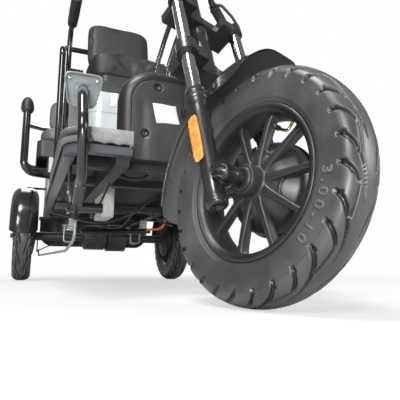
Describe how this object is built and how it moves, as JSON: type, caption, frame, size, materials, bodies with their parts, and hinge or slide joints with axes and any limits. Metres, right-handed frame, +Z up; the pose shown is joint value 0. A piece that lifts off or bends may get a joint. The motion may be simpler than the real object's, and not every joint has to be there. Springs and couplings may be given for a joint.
{
  "type": "electric tricycle",
  "caption": "Electric tricycle with a telescopic front fork, open footboard, driver's seat on a battery box and a passenger bench over the rear axle.",
  "frame": {"origin": "on the floor, at the middle of the overall length and width, with the front wheel turned as it is parked", "axes": "+Z up, -Y towards the front of the vehicle, +X towards the vehicle's left side"},
  "size_m": [0.858, 2.0479, 1.2397],
  "materials": {
    "tyre_rubber": "matt",
    "cast_wheel": "satin grey paint",
    "black_steel": "gloss black paint",
    "chrome": "polished",
    "zinc_steel": "zinc plated",
    "cast_alloy": "cast, dark",
    "black_gloss_plastic": "gloss",
    "charcoal_plastic": "fine grain",
    "frame_paint": "dark blue-grey satin",
    "silver_panel": "silver",
    "seat_cover": "dark grey artificial leather",
    "soft_rubber": "matt foam rubber",
    "orange_lens": "moulded reflector",
    "red_lens": "lamp lens"
  },
  "bodies": {
    "chassis": {"armrest_knobs": "soft_rubber", "armrest_pads": "soft_rubber", "battery_box": "silver_panel", "battery_pack": "charcoal_plastic", "bench_back_frame": "black_steel", "bench_backrest": "seat_cover", "bench_cushion": "seat_cover", "bench_end_panels": "silver_panel", "bench_side_panels": "silver_panel", "bench_tray": "charcoal_plastic", "brake_pedal": "black_steel", "brake_rod": "zinc_steel", "converter": "cast_alloy", "driver_armrests": "black_steel", "footboard": "charcoal_plastic", "frame_crossmembers": "frame_paint", "frame_rails": "frame_paint", "frame_spines": "frame_paint", "grab_hoop": "black_steel", "head_tube": "black_steel", "leaf_springs": "zinc_steel", "leg_shield": "charcoal_plastic", "motor": "cast_alloy", "passenger_armrest_left": "black_steel", "passenger_armrest_right": "black_steel", "rear_axle": "cast_alloy", "rear_brake_left": "cast_alloy", "rear_brake_right": "cast_alloy", "rear_mudguard_left": "black_gloss_plastic", "rear_mudguard_right": "black_gloss_plastic", "tail_bumper": "black_steel", "tail_lamps": "red_lens"},
    "steering": {"steering_stem": "black_steel", "fork_leg_right": "black_steel", "fork_leg_left": "black_steel", "fork_stanchions": "chrome", "front_axle": "zinc_steel", "front_brake_plate": "cast_alloy", "front_mudguard": "black_gloss_plastic", "mudguard_stays": "black_steel", "fork_reflectors": "orange_lens", "handlebar": "black_steel", "handlebar_grips": "soft_rubber", "brake_levers": "cast_alloy", "headlight": "black_gloss_plastic", "display": "charcoal_plastic", "mirrors": "black_gloss_plastic"},
    "front_wheel": {"front_tyre": "tyre_rubber", "front_rim": "cast_wheel"},
    "rear_wheel_right": {"rear_tyre_right": "tyre_rubber", "rear_rim_right": "cast_wheel"},
    "rear_wheel_left": {"rear_tyre_left": "tyre_rubber", "rear_rim_left": "cast_wheel"},
    "driver_seat": {"seat_base": "charcoal_plastic", "seat_cushion": "seat_cover", "seat_backrest": "seat_cover"}
  },
  "joints": [
    {"name": "steering_turn", "type": "hinge", "parent": "chassis", "child": "steering", "pos_m": [0, -0.60337, 0.54224], "axis": [0, 0.4067, 0.9135], "range_deg": [-57.5, 22.5]},
    {"name": "front_wheel_spin", "type": "hinge", "parent": "steering", "child": "front_wheel", "pos_m": [0.01955, -0.82025, 0.20752], "axis": [0.9537, 0.2747, -0.1223], "continuous": true},
    {"name": "rear_wheel_right_spin", "type": "hinge", "parent": "chassis", "child": "rear_wheel_right", "pos_m": [-0.37, 0.737, 0.208], "axis": [1, 0, 0], "continuous": true},
    {"name": "rear_wheel_left_spin", "type": "hinge", "parent": "chassis", "child": "rear_wheel_left", "pos_m": [0.37, 0.737, 0.208], "axis": [1, 0, 0], "continuous": true},
    {"name": "driver_seat_tip", "type": "hinge", "parent": "chassis", "child": "driver_seat", "pos_m": [0, 0.042, 0.733], "axis": [1, 0, 0], "range_deg": [0, 50]}
  ]
}
